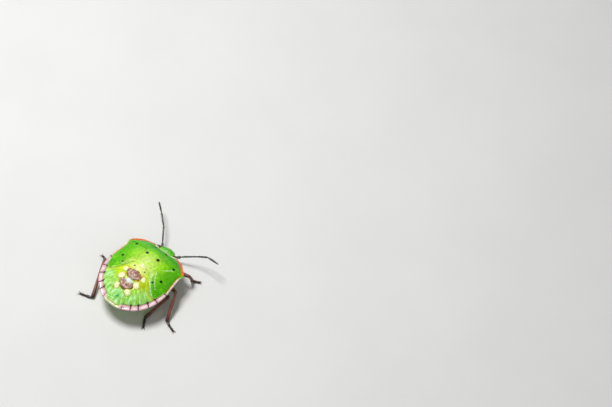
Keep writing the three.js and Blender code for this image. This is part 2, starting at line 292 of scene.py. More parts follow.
def inside(x, y, outline):
    """1 for each (x, y) inside a closed outline and -1 outside."""
    crossings = np.zeros(np.broadcast(x, y).shape, bool)
    for (ax, ay), (bx, by) in zip(outline, outline[1:] + outline[:1]):
        spans = (ay > y) != (by > y)
        height = by - ay if by != ay else 1e-9
        crossings ^= spans & (x < (bx - ax) * (y - ay) / height + ax)
    return np.where(crossings, 1.0, -1.0)


def smooth_line(points, steps=6):
    """A denser line through points, rounded at each."""
    xs = curve([(i, p[0]) for i, p in enumerate(points)])
    ys = curve([(i, p[1]) for i, p in enumerate(points)])
    t = np.linspace(0, len(points) - 1, (len(points) - 1) * steps + 1)
    return list(zip(xs(t), ys(t)))


def ripples(x, y, scale, seed, octaves=3):
    """Smooth noise between about -1 and 1, from a few turned sine waves an octave."""
    waves = np.random.default_rng(seed)
    total = np.zeros(np.broadcast(x, y).shape)
    weight_sum = 0
    for octave in range(octaves):
        for _ in range(5):
            angle = waves.uniform(0, 2 * math.pi)
            frequency = 2 ** octave / scale * waves.uniform(0.7, 1.3)
            phase = waves.uniform(0, 2 * math.pi)
            weight = 0.6**octave
            total += weight * np.sin(frequency * (x * math.cos(angle) + y * math.sin(angle)) * 6.28 + phase)
            weight_sum += weight**2 / 2
    return total / math.sqrt(weight_sum) / 1.8


thorax_half_width = curve(THORAX_HALF_WIDTHS)
margin_drop = curve(MARGIN_DROPS)
midline_height = curve(MIDLINE_HEIGHTS)
belly_depth = curve(BELLY_DEPTHS)
pronotum_rear = curve(PRONOTUM_REAR)


def half_width(y):
    to_rear = np.clip((ABDOMEN_WIDEST - y) / (ABDOMEN_WIDEST - BODY_REAR), 0, 1)
    abdomen = ABDOMEN_HALF_WIDTH * np.sqrt(np.maximum(0, 1 - to_rear**ABDOMEN_SQUARENESS))
    return np.maximum(np.where(y > ABDOMEN_WIDEST, thorax_half_width(y), abdomen), 0.002)


def side_band(y):
    """Width of the flattened side margin: broad on the abdomen, narrow on the thorax."""
    return 0.2 + 0.22 * ramp(-y, 2.2, 2.9)


def round_from_tail(x, y):
    """Degrees round the abdomen from the tail, and how far out from its middle, 1 at the margin."""
    out_x = np.abs(x) / ABDOMEN_HALF_WIDTH
    out_y = (ABDOMEN_WIDEST - y) / (ABDOMEN_WIDEST - BODY_REAR)
    return np.degrees(np.arctan2(out_x, out_y)), np.hypot(out_x, out_y)


def to_outline(x, y):
    """The distance inward from the body's outline, the same all round."""
    along = np.linspace(0, 1, 120) ** 1.5
    outline_y = BODY_REAR + (BODY_FRONT - BODY_REAR) * along
    return polyline_distance(np.abs(x), y, list(zip(half_width(outline_y), outline_y)))


def arc(degrees, out):
    """The length round the abdomen of an angle from its middle."""
    return np.radians(degrees) * ABDOMEN_ARC_RADIUS * out


class Back:
    """Masks and distances over the back that both its relief and its paint use."""

    def __init__(self, x, y):
        self.x, self.y = x, y
        self.across = np.abs(x)
        self.degrees, self.out = round_from_tail(x, y)
        self.at_tail = 1 - ramp(self.degrees, 9, 19)
        self.to_margin = to_outline(x, y)
        self.band = side_band(y) * (1 - 0.68 * self.at_tail)
        self.in_band = 1 - ramp(self.to_margin, self.band - 0.03, self.band + 0.03)
        self.behind_pronotum = pronotum_rear(x) - y
        self.on_pronotum = 1 - ramp(self.behind_pronotum, -0.02, 0.03)
        pad_edge = smooth_line(WING_PAD_EDGE)
        pad_outline = pad_edge + [(4.5, -2.3), (4.5, 3), (0.3, 3), (0.3, -1.5)]
        pad = polyline_distance(self.across, y, pad_edge) * inside(self.across, y, pad_outline)
        scutellum_edge = smooth_line(SCUTELLUM_SIDE)
        scutellum_outline = scutellum_edge + [(-0.5, -2.42), (-0.5, 3), (1.02, 3)]
        self.scutellum = polyline_distance(self.across, y, scutellum_edge)
        self.scutellum *= inside(self.across, y, scutellum_outline)
        self.pad = pad
        self.plate = np.maximum(pad, self.scutellum)
        self.on_plate = ramp(self.plate, -0.02, 0.05)
        joints = np.array(SIDE_JOINTS)
        gap = self.degrees[..., None] - joints
        nearest = np.abs(gap).argmin(axis=-1)
        self.to_joint = arc(np.take_along_axis(gap, nearest[..., None], -1)[..., 0], self.out)
        self.on_abdomen = (1 - self.on_plate) * (1 - self.on_pronotum)
        self.lumps = ripples(x, y, 0.7, 77)
        self.crinkle = ripples(x, y, 0.28, 76)
        self.folds = ripples(arc(self.degrees, np.sign(x)), self.out * 0.75, 0.3, 78, octaves=2)
        self.fold_zone = ramp(self.out, 0.5, 0.64) * (1 - self.in_band)
        self.inward = ramp(self.to_margin, 0.1, 0.5)
        self.grain = ripples(x, y, 0.35, 21)
        self.broad = ripples(x, y, 1.6, 22)

    def spots(self, marks, softness=0.02, wobble=0.0):
        """A mask of round marks on both sides, with their outlines made uneven by wobble."""
        mask = np.zeros_like(self.x)
        unevenness = wobble * (self.lumps + 0.9 * self.crinkle) if wobble else 0
        for spot_x, spot_y, radius in marks:
            distance = np.hypot(self.across - spot_x, self.y - spot_y) + unevenness
            mask = np.maximum(mask, 1 - ramp(distance, radius - softness, radius + softness))
        return mask

    def ring(self, marks, width):
        """A mask of a ring of that width round each mark."""
        wider = [(spot_x, spot_y, radius + width) for spot_x, spot_y, radius in marks]
        return self.spots(wider, 0.04, 0.03) - self.spots(marks, 0.04, 0.03)

    def gland(self, plate):
        """Distance inside a gland plate, with an uneven edge, less than 0 outside it."""
        reach = np.full(self.x.shape, -9.0)
        for oval_x, oval_y, oval_width, oval_length in plate["ovals"]:
            out = np.hypot((self.across - oval_x) / oval_width, (self.y - oval_y) / oval_length)
            reach = np.maximum(reach, (1 - out) * min(oval_width, oval_length))
        return reach + 0.035 * self.crinkle


def dome(x, y):
    """The plain back, as the solids have it, with the side margin laid flat."""
    width = half_width(y)
    band = np.minimum(side_band(y), 0.45 * width)
    across = np.clip(np.abs(x) / (width - 0.7 * band), 0, 1)
    margin = margin_drop(y)
    rise = (midline_height(y) - margin) * (1 - across**2) ** DOME_FALL
    return MARGIN_HEIGHT + margin + rise


def rim(to_margin):
    """Rounds the edge of the margin: 0 at the edge and 1 from RIM_RADIUS inward."""
    t = np.clip(to_margin / RIM_RADIUS, 0, 1)
    return np.sqrt(1 - (1 - t) ** 2)


def plates_relief(back, height):
    """Plates that lie over one another from the head backward."""
    crisp = 0.25 + 0.75 * ramp(back.across, 0.6, 1.1)
    roll = 0.055 * crisp * ramp(back.plate, -0.02, 0.035) + 0.05 * ramp(back.plate, -0.02, 0.5)
    height = height + roll * ramp(back.to_margin, 0.02, 0.3)
    height += 0.05 * back.on_pronotum * back.inward
    height -= 0.025 * bump(back.behind_pronotum - 0.03, 0.05) * back.inward
    pad_crown = oval(back.across, back.y, PAD_CROWN)
    height += 0.07 * pad_crown * back.on_plate * (1 - back.on_pronotum) * back.inward
    height -= 0.022 * bump(back.scutellum, 0.07) * (1 - back.on_pronotum) * ramp(back.y, -2.35, -1.9)
    height += 0.05 * ramp(back.scutellum, 0, 0.5) * (1 - back.on_pronotum)
    height -= 0.03 * bump(back.pad + 0.05, 0.05) * (1 - back.on_pronotum)
    height += 0.03 * oval(back.x, back.y, BETWEEN_GLANDS) * back.on_abdomen
    return height


def pronotum_relief(back, height):
    """Smooth raised calluses in front, a reflexed orange margin and a cross furrow."""
    for side in (-1, 1):
        callus = np.hypot((back.x - side * 0.95) / 0.62, (back.y - 0.78 + 0.1 * np.abs(back.x)) / 0.2)
        height += 0.035 * bump(callus, 0.8) * back.on_pronotum
    height -= 0.015 * bump(back.y - 0.38 + 0.05 * back.across, 0.14) * back.on_pronotum * back.inward
    height += 0.09 * bump(back.to_margin - 0.03, 0.1) * back.on_pronotum * ramp(back.y, -0.2, 0.1)
    height -= 0.05 * bump(back.to_margin - 0.3, 0.09) * back.on_pronotum * ramp(back.y, -0.2, 0.1)
    height += 0.03 * bump(back.to_margin - 0.04, 0.08) * (1 - back.on_pronotum) * ramp(back.y, -2.6, -2.0)
    height -= 0.03 * bump(back.to_margin - 0.24, 0.06) * ramp(back.y, -2.6, -2.0)
    return height


def abdomen_relief(back, height):
    """Flat side plates with a furrow inside them and notched joints, and the wrinkles."""
    abdomen = back.on_abdomen
    height -= 0.05 * bump(back.to_margin - back.band, 0.06) * abdomen
    height += 0.02 * bump(back.to_margin - 0.5 * back.band, 0.14) * abdomen
    height -= 0.045 * bump(back.to_joint, 0.03) * back.in_band * abdomen
    inner_joint = bump(back.to_joint, 0.05) * ramp(back.out, 0.35, 0.6) * (1 - back.in_band)
    height -= 0.03 * inner_joint * abdomen

    # Wrinkles run inward from the side plates and swell between the joints
    height += 0.028 * back.folds * back.fold_zone * abdomen
    height += 0.012 * ripples(back.x, back.y, 0.5, 5) * abdomen * ramp(back.to_margin, 0.4, 0.7)
    height += 0.025 * bump(back.out - 0.8, 0.07) * abdomen * np.cos(np.clip(back.to_joint * 2.2, -1.6, 1.6))
    return height


def marks_relief(back, height):
    """Raised gland plates with a rolled edge, cream calluses, the tail segment and dots."""
    abdomen = back.on_abdomen
    for plate in GLAND_PLATES:
        reach = back.gland(plate)
        height += (0.06 * ramp(reach, -0.02, 0.07) + 0.03 * bump(reach - 0.06, 0.035)) * abdomen
        height += 0.022 * ripples(back.x, back.y, 0.4, 79) * ramp(reach, 0, 0.1) * abdomen
        height -= 0.03 * bump(reach + 0.03, 0.05) * abdomen
        furrow = np.hypot(back.x / 0.9, (back.y - plate["y"] + 0.3 * plate["half_length"]) / 0.2)
        height -= 0.03 * bump(furrow, 0.35) * abdomen
    height += 0.06 * back.spots(CREAM_SPOTS, 0.09, 0.03) * abdomen
    dents = ramp(ripples(back.x, back.y, 0.2, 80), 0.3, 1.2)
    height -= 0.02 * back.spots(CREAM_SPOTS, 0.03, 0.03) * dents * abdomen
    height += 0.03 * back.spots(ORANGE_SPOTS, 0.05) * abdomen
    height -= 0.03 * bump(back.y + 5.95 + 0.12 * back.across**2, 0.04) * ramp(-back.across, -1.1, -0.8)
    height -= 0.012 * back.spots(BLACK_DOTS, 0.03)
    return height


def back_height(x, y):
    """The back with its plates, sutures, glands, calluses and wrinkles."""
    back = Back(x, y)
    height = dome(x, y) - RIM_RADIUS + RIM_RADIUS * rim(back.to_margin)
    for relief in (plates_relief, pronotum_relief, abdomen_relief, marks_relief):
        height = relief(back, height)
    return height


def belly_height(x, y):
    width = half_width(y)
    across = np.clip(np.abs(x) / width, 0, 1)
    to_margin = to_outline(x, y)
    height = MARGIN_HEIGHT + margin_drop(y) - RIM_RADIUS - RIM_RADIUS * rim(to_margin)
    height -= (belly_depth(y) + 0.1) * (1 - across**2) ** 1.05 * ramp(to_margin, 0.0, 0.3)
    degrees, out = round_from_tail(x, y)
    for joint in SIDE_JOINTS:
        away = arc(degrees - joint, out)
        height += 0.03 * bump(away, 0.05) * ramp(out, 0.25, 0.5) * ramp(-y, 2.2, 2.7)
    for suture_y in (-2.15, -1.25, -0.2):
        height += 0.05 * bump(y - suture_y - 0.05 * x**2, 0.05)
    keel = bump(x, 0.22) * ramp(-y, 2.4, 3.0)
    height -= 0.03 * keel
    groove = bump(x, 0.2) * (1 - ramp(-y, 1.6, 2.2))
    return height + 0.12 * groove + 0.008 * ripples(x, y, 0.5, 11)


class Coat:
    """Paint in screen values over a grid of points, laid on in layers."""

    def __init__(self, colour, shape):
        self.colour = np.broadcast_to(colour, (*shape, 3))

    def lay(self, colour, mask):
        """Lays a colour, or a grid of colours, over the paint where the mask is."""
        self.colour = self.colour + (colour - self.colour) * np.clip(mask, 0, 1)[..., None]


def abdomen_paint(back):
    """Greens and yellows of the abdomen, from its middle outward."""
    x, y = back.x, back.y
    paint = Coat(ABDOMEN_GREEN, x.shape)
    paint.lay(ABDOMEN_YELLOW, 0.85 * bump(np.hypot(back.across - 1.25, (back.y + 3.6) / 1.5), 0.7))
    # Painted shade: olive to the right of the gland plates, where the back turns from the light
    paint.lay(SHADE_OLIVE, 0.8 * oval(x, y, SHADE_OLIVE_PATCH))
    paint.lay(ABDOMEN_CREAM, 0.9 * oval(x, y, BEHIND_SCUTELLUM))
    between_joints = 0.5 + 0.5 * np.cos(np.clip(back.to_joint * 4.4, -math.pi, math.pi))
    mint = ramp(back.out, 0.44, 0.72) * (1 - 0.25 * between_joints)
    paint.lay(ABDOMEN_MINT, mint * (0.95 + 0.15 * back.broad))
    paint.lay(FOLD_PALE, 0.8 * ramp(back.folds, 0.1, 1.1) * back.fold_zone)
    # Painted shade: darker green in the troughs of the folds
    paint.lay(ABDOMEN_GREEN * 0.84, 0.5 * ramp(-back.folds, 0.4, 1.4) * back.fold_zone)
    paint.lay(ABDOMEN_YELLOW, 0.5 * bump(back.pad + 0.14, 0.1) * ramp(back.across, 1.0, 1.4))
    paint.lay(SPOT_ORANGE * 0.8, 0.45 * bump(back.pad + 0.06, 0.04) * ramp(back.across, 1.2, 1.6))
    paint.lay(TAIL_CREAM, 0.2 * ramp(-y, 6.0, 6.25) * back.at_tail)
    paint.lay(SPOT_ORANGE, 0.45 * bump(back.to_margin - back.band - 0.04, 0.04) * back.at_tail)
    paint.lay(TAIL_SPOT_GREEN, 0.75 * bump(np.hypot(x - 0.1, y + 5.66), 0.15))
    return paint


def paint_glands(back, paint):
    """Gland plates, their dark rolled edges and the spots beside them."""
    x, y = back.x, back.y
    for plate in GLAND_PLATES:
        reach = back.gland(plate)
        on_plate = ramp(reach, 0.0, 0.04)
        paint.lay(PLATE_EDGE, 0.8 * ramp(reach, -0.06, -0.01) * ramp(back.lumps, -1.2, 0.2))
        fade = ramp(y + 0.12 * back.crinkle, plate["y"] - 0.25, plate["y"] + 0.15)
        paint.lay(PLATE_PINK + (PLATE_MAUVE - PLATE_PINK) * fade[..., None], on_plate)
        rolled = bump(reach - 0.03, 0.045) * ramp(ripples(x, y, 0.3, 82), -0.7, 0.5)
        paint.lay(PLATE_EDGE, 0.85 * on_plate * rolled)
        rear_edge = on_plate * ramp(plate["y"] - y, 0.5 * plate["half_length"], 0.95 * plate["half_length"])
        paint.lay(PLATE_EDGE, 0.8 * rear_edge * ramp(back.crinkle, -0.8, 0.4))
        mottle = ripples(x, y, 0.36, 31)
        paint.lay(PLATE_EDGE * 1.3, 0.45 * on_plate * ramp(mottle, 0.3, 1.3))
        paint.lay(PLATE_SHEEN, 0.75 * on_plate * ramp(-mottle, 0.1, 1.1))
        cracks = bump(ripples(x, y, 0.95, 84, octaves=2), 0.05)
        paint.lay(PLATE_EDGE, 0.7 * on_plate * cracks)
        border = bump(reach + 0.015, 0.045) * ramp(back.lumps + 0.6 * back.crinkle, 0.0, 0.7)
        paint.lay(SPOT_ORANGE * 0.85, 0.85 * border)
    gleam = oval(x, y + 0.08 * back.crinkle, GLEAM)
    paint.lay(GLEAM_WHITE, 1.1 * gleam)
    paint.lay(SPOT_ORANGE, 0.75 * back.spots(ORANGE_SPOTS, 0.05, 0.04))
    paint.lay(PLATE_EDGE, 0.75 * back.ring(CREAM_SPOTS, 0.035) * bump(back.across - 0.45, 0.45))
    paint.lay(ABDOMEN_YELLOW * 0.8, 0.4 * back.ring(CREAM_SPOTS, 0.09))
    paint.lay(CALLUS_CREAM, back.spots(CREAM_SPOTS, 0.05, 0.03))


def thorax_paint(back):
    """A pale scutellum and green wing pads with their margins, and painted highlights on the right wing pad.
    """
    x, y = back.x, back.y
    thorax = Coat(THORAX_GREEN, x.shape)
    thorax.lay(PAD_LIGHT_GREEN, 0.9 * oval(back.across, y, PAD_LIGHT))
    thorax.lay(SCUTELLUM_YELLOW, oval(back.across, y, SCUTELLUM_GLOW))
    thorax.lay(SCUTELLUM_PALE, 0.95 * oval(x, y, SCUTELLUM_MIDDLE))
    thorax.lay(ABDOMEN_CREAM, 0.9 * oval(x, y, SCUTELLUM_TIP))
    stipple = ripples(x, y, 0.14, 83, octaves=2)
    thorax.lay(THORAX_GREEN * 0.5, 0.8 * ramp(stipple, 0.3, 1.3) * ramp(back.across, 1.2, 1.9))
    thorax.lay(PAD_LIGHT_GREEN, 0.4 * ramp(-stipple, 0.5, 1.4) * ramp(back.across, 1.2, 1.9))
    thorax.lay(THORAX_GREEN * 0.9, 0.12 * bump(back.scutellum, 0.06) * ramp(y, -2.0, -1.5))
    # Painted highlight: white along the inner edge of the right wing pad
    lip = bump(back.pad - 0.1, 0.11) * ramp(back.across, 0.9, 1.3) * (1 - ramp(back.across, 2.2, 2.6))
    right = ramp(x, 0.5, 1.0)
    right_glint = ABDOMEN_CREAM + (GLINT_WHITE - ABDOMEN_CREAM) * right[..., None]
    thorax.lay(right_glint, 0.45 * right * lip)
    # Painted highlights: white streaks of reflected light on the right wing pad
    for streak in GLINT_STREAKS:
        away = polyline_distance(x, y, smooth_line(streak, 2)) + 0.03 * back.crinkle
        broken = ramp(ripples(x, y, 0.4, 88), -1.0, 0.1)
        thorax.lay(GLINT_WHITE, 0.85 * bump(away, 0.05) * broken)
    flecks = ramp(ripples(x, y, 0.3, 86), -0.6, 0.8) * (1 - right) * ramp(back.across, 0.8, 1.2)
    flecks *= bump(back.pad - 0.16, 0.2) * (1 - ramp(back.across, 2.0, 2.5))
    thorax.lay(FLECK_YELLOW, flecks)
    thorax.lay(PAD_LIGHT_GREEN, 0.4 * ramp(back.broad, 0.2, 1.1))
    margin = ramp(-back.to_margin, -0.2, -0.12)
    thorax.lay(PAD_MARGIN_CREAM, margin * ramp(-y, 0.1, 0.9))
    thorax.lay(MARGIN_ORANGE, 0.6 * bump(back.to_margin - 0.17, 0.04) * ramp(-y, -0.1, 0.3))
    thorax.lay(SIDE_PINK, 0.7 * ramp(-back.to_margin, -0.12, -0.06) * ramp(-y, 0.6, 1.6))
    pad_rim = bump(back.pad - 0.03, 0.045) * ramp(back.across, 2.3, 2.7) * ramp(-y, 2.4, 2.9)
    thorax.lay(MARGIN_CREAM, 0.5 * pad_rim)
    return thorax


def pronotum_paint(back):
    """The pronotum with its orange margin, and a painted highlight along its front edge."""
    y = back.y
    pronotum = Coat(PRONOTUM_GREEN, y.shape)
    pronotum.lay(THORAX_GREEN, ramp(-y, -0.6, 0.2))
    pronotum.lay(PAD_LIGHT_GREEN, 0.5 * oval(back.across, y, PRONOTUM_LIGHT))
    pronotum.lay(PRONOTUM_GREEN * 0.72, 0.25 * bump(y - 0.4 + 0.05 * back.across, 0.2))
    pronotum.lay(SCUTELLUM_YELLOW, 0.5 * ramp(y, 0.95, 1.1) * ramp(-back.across, -1.4, -1.0))
    edge = ramp(-back.to_margin, -0.25, -0.19)
    pronotum.lay(MARGIN_ORANGE, edge)
    pronotum.lay(MARGIN_PINK, 0.6 * ramp(-back.to_margin, -0.07, -0.02))
    # Painted highlight: a pale line along the front edge of the pronotum
    collar_highlight = ramp(y, BODY_FRONT - 0.09, BODY_FRONT - 0.05) * (1 - ramp(back.across, 1.5, 1.8))
    pronotum.lay(COLLAR_HIGHLIGHT, 0.85 * collar_highlight)
    return pronotum


def paint_side_plates(back, paint):
    """Pink side plates of the abdomen with dark joints."""
    side = Coat(SIDE_PINK, back.x.shape)
    side.lay(SIDE_PALE, bump(back.to_margin - 0.5 * back.band, 0.1) * ramp(np.abs(back.to_joint), 0.08, 0.3))
    side.lay(SIDE_RED, 0.5 * bump(back.to_margin - back.band + 0.05, 0.05))
    side.lay(SIDE_LILAC, 0.35 * ramp(back.grain, 0.3, 1.2))
    side.lay(MARGIN_ORANGE, 0.3 * ramp(-back.grain, 0.5, 1.4))
    side.lay(TAIL_CREAM, back.at_tail)
    inner_edge = bump(back.to_margin - back.band - 0.01, 0.03) * back.on_abdomen * ramp(back.degrees, 15, 20)
    paint.lay(JOINT_DARK * 1.2, 0.5 * inner_edge)
    paint.lay(side.colour, back.in_band * back.on_abdomen)
    joint = bump(back.to_joint, 0.042) * (back.in_band + 0.4 * bump(back.to_margin - back.band - 0.05, 0.1))
    joint *= 0.35 + 0.65 * ramp(back.degrees, 22, 28)
    paint.lay(JOINT_DARK, 0.92 * joint * back.on_abdomen)
    corner = bump(np.hypot(back.to_joint, back.to_margin - back.band - 0.02), 0.085)
    paint.lay(DOT_BLACK, 0.9 * corner * back.on_abdomen * ramp(back.degrees, 24, 30))


def back_paint(x, y):
    """Colours of the back, by formula, in screen values, and where its pits lie."""
    back = Back(x, y)
    paint = abdomen_paint(back)
    paint_glands(back, paint)
    paint.lay(thorax_paint(back).colour, back.on_plate)
    paint.lay(pronotum_paint(back).colour, back.on_pronotum)
    joint_line = bump(back.behind_pronotum - 0.035, 0.03) * ramp(back.to_margin, 0.1, 0.3)
    paint.lay(PRONOTUM_GREEN * 0.6, 0.3 * joint_line)
    paint_side_plates(back, paint)
    paint.lay(DOT_BLACK, back.spots(BLACK_DOTS, 0.035))
    colours = paint.colour * (1 + 0.05 * back.grain + 0.04 * back.broad)[..., None]
    pits = np.maximum(back.on_plate, back.on_pronotum) * ramp(back.to_margin, 0.2, 0.3)
    pits *= 1 - 0.6 * oval(back.across, y, SCUTELLUM_SMOOTH)
    pits *= 1 - back.spots(BLACK_DOTS)
    return np.clip(colours, 0, 1), np.clip(pits, 0, 1)


def belly_paint(x, y):
    """Colours of the underside: green with paler sides, dark joints and breathing holes."""
    grain = ripples(x, y, 0.35, 41)
    degrees, out = round_from_tail(x, y)
    paint = Coat(BELLY_GREEN, x.shape)
    paint.lay(BELLY_PALE, ramp(out, 0.55, 0.85) * ramp(-y, 2.0, 2.6))
    paint.lay(BELLY_PALE, 0.5 * bump(x, 0.3))
    to_margin = to_outline(x, y)
    on_abdomen = ramp(-y, 2.3, 2.7)
    at_tail = 1 - ramp(degrees, 9, 19)
    band = ramp(0.36 - 0.22 * at_tail - to_margin, 0, 0.06)
    paint.lay(SIDE_PINK, band * on_abdomen)
    paint.lay(TAIL_CREAM, band * at_tail)
    paint.lay(MARGIN_ORANGE, ramp(-to_margin, -0.2, -0.14) * (1 - on_abdomen))
    for joint in SIDE_JOINTS:
        away = arc(degrees - joint, out)
        paint.lay(JOINT_DARK, 0.9 * bump(away, 0.045) * band * on_abdomen)
        paint.lay(BELLY_GREEN * 0.6, 0.4 * bump(away, 0.05) * ramp(out, 0.3, 0.5) * on_abdomen)
        hole = np.hypot(arc(degrees - joint + 6, out), to_margin - 0.62)
        paint.lay(DOT_BLACK, bump(hole, 0.055) * on_abdomen)
    colours = paint.colour * (1 + 0.06 * grain)[..., None]
    return np.clip(colours, 0, 1), 0.35 * ramp(to_margin, 0.3, 0.5)


def to_linear(colour):
    colour = np.clip(colour, 0, 1)
    return np.where(colour <= 0.04045, colour / 12.92, ((colour + 0.055) / 1.055) ** 2.4)


abdomen_low, abdomen_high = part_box("abdomen")
ORIGIN = np.array([
    (abdomen_low.x + abdomen_high.x) / 2,
    abdomen_low.y - BODY_REAR * MM,
    0.0,
])


def to_world(points):
    return np.asarray(points, float) * MM + ORIGIN


class Soup:
    """Collects vertices, faces and colours, and makes one mesh object of them."""

    def __init__(self):
        self.points, self.faces, self.colours, self.pits, self.places = [], [], [], [], []
        self.count = 0

    def add(self, points, faces, colours, pits=0.0, places=None):
        points = np.asarray(points, float).reshape(-1, 3)
        colours = np.broadcast_to(colours, points.shape)
        self.points.append(points)
        self.colours.append(colours)
        self.pits.append(np.broadcast_to(pits, (len(points),)))
        self.places.append(np.zeros((len(points), 2)) if places is None else places)
        self.faces.extend([np.asarray(face) + self.count for face in faces])
        self.count += len(points)

    def add_tube(self, points, ends, colours, end_colours, pits=0.0, turned=False):
        """Adds rings of points, closed by a pole at each end."""
        all_points = np.concatenate([points.reshape(-1, 3), ends])
        all_colours = np.concatenate([colours.reshape(-1, 3), end_colours])
        self.add(all_points, tube_faces(*points.shape[:2], turned), all_colours, pits)

    def faces_of(self, corners):
        chosen = [face.reshape(-1, corners) for face in self.faces if face.shape[-1] == corners]
        return np.concatenate([np.zeros((0, corners), int), *chosen])

    def make(self, name, material, coat_map=False):
        mesh = bpy.data.meshes.new(name)
        points = to_world(np.concatenate(self.points))
        quads, triangles = self.faces_of(4), self.faces_of(3)
        loops = np.concatenate([quads.ravel(), triangles.ravel()]).astype(np.int32)
        sizes = np.concatenate([np.full(len(quads), 4), np.full(len(triangles), 3)]).astype(np.int32)
        starts = np.concatenate([[0], np.cumsum(sizes)[:-1]]).astype(np.int32)
        mesh.vertices.add(len(points))
        mesh.vertices.foreach_set("co", points.ravel())
        mesh.loops.add(len(loops))
        mesh.loops.foreach_set("vertex_index", loops)
        mesh.polygons.add(len(sizes))
        mesh.polygons.foreach_set("loop_start", starts)
        mesh.polygons.foreach_set("use_smooth", np.full(len(sizes), True))
        mesh.update(calc_edges=True)
        colours = to_linear(np.concatenate(self.colours))
        paint = mesh.color_attributes.new("Paint", "FLOAT_COLOR", "POINT")
        paint.data.foreach_set("color", np.column_stack([colours, np.ones(len(colours))]).ravel())
        pits = mesh.attributes.new("Pits", "FLOAT", "POINT")
        pits.data.foreach_set("value", np.concatenate(self.pits).astype(np.float32))
        if coat_map:
            layer_map = mesh.uv_layers.new(name="OFBake")
            layer_map.data.foreach_set("uv", np.concatenate(self.places)[loops].ravel())
        mesh.validate()
        obj = bpy.data.objects.new(name, mesh)
        bpy.context.scene.collection.objects.link(obj)
        mesh.materials.append(material)
        return obj


def grid_faces(rings, sides):
    """Quads of a tube of closed rings."""
    i = np.arange(rings - 1)[:, None] * sides
    j = np.arange(sides)[None, :]
    k = (j + 1) % sides
    return np.stack([i + j, i + k, i + sides + k, i + sides + j], -1).reshape(-1, 4)


def fan_faces(ring_start, sides, pole, flip):
    """Triangles from a ring to its pole."""
    j = np.arange(sides)
    k = (j + 1) % sides
    pair = (ring_start + k, ring_start + j) if flip else (ring_start + j, ring_start + k)
    return np.stack([pair[0], pair[1], np.full(sides, pole)], -1)


def tube_faces(rings, sides, turned=False):
    """Faces of a tube with a pole at each end, the poles coming after the rings' points."""
    poles = rings * sides
    walls = grid_faces(rings, sides)
    return [
        walls[:, ::-1] if turned else walls,
        fan_faces(0, sides, poles, not turned),
        fan_faces(poles - sides, sides, poles + 1, turned),
    ]


def skin_side(across, y, height_at, paint_at):
    """The skin's back or belly: points, colours and pits, with the neck's edge drawn back."""
    x = half_width(y)[:, None] * (0.6 * across + 0.4 * np.sin(across * math.pi / 2))
    along = np.repeat(y[:, None], len(across), 1)
    neck = 0.3 * ramp(along, 0.5, 1.37) * (1 - ramp(np.abs(x), 0.85, 1.3))
    return np.stack([x, along - neck, height_at(x, along)], -1), *paint_at(x, along)


def body_skin(material):
    """Pronotum, thorax and abdomen as one closed skin of rings from tail to neck."""
    t = np.linspace(0, 1, SKIN_STATIONS)
    along = 0.55 * t + 0.45 * (1 - np.cos(math.pi * t)) / 2
    y = BODY_REAR + 0.004 + (BODY_FRONT - BODY_REAR - 0.004) * along
    across_belly = np.linspace(-1, 1, SKIN_ACROSS_BELLY + 2)[1:-1]
    back = skin_side(np.linspace(1, -1, SKIN_ACROSS_BACK), y, back_height, back_paint)
    belly = skin_side(across_belly, y, belly_height, belly_paint)
    points, colours, pits = (np.concatenate(pair, 1) for pair in zip(back, belly))
    tail = points[0].mean(axis=0)
    neck_pole = points[-1].mean(axis=0) - np.array([0, 0.05, 0])
    soup = Soup()
    soup.add_tube(points, [tail, neck_pole], colours, [TAIL_CREAM, PRONOTUM_GREEN], np.append(pits, [0, 0]))
    return soup.make("skin", material)


head_half_width = curve(HEAD_HALF_WIDTHS)
head_top = curve(HEAD_TOPS)
head_bottom = curve(HEAD_BOTTOMS)


def head_place(across, along, up):
    """A point of the head: across to the right, along from the neck and up from its middle plane."""
    y = NECK[1] + along * math.cos(HEAD_TILT) + up * math.sin(HEAD_TILT)
    z = NECK[2] - along * math.sin(HEAD_TILT) + up * math.cos(HEAD_TILT)
    return np.stack([across + 0 * y, y, z], -1)


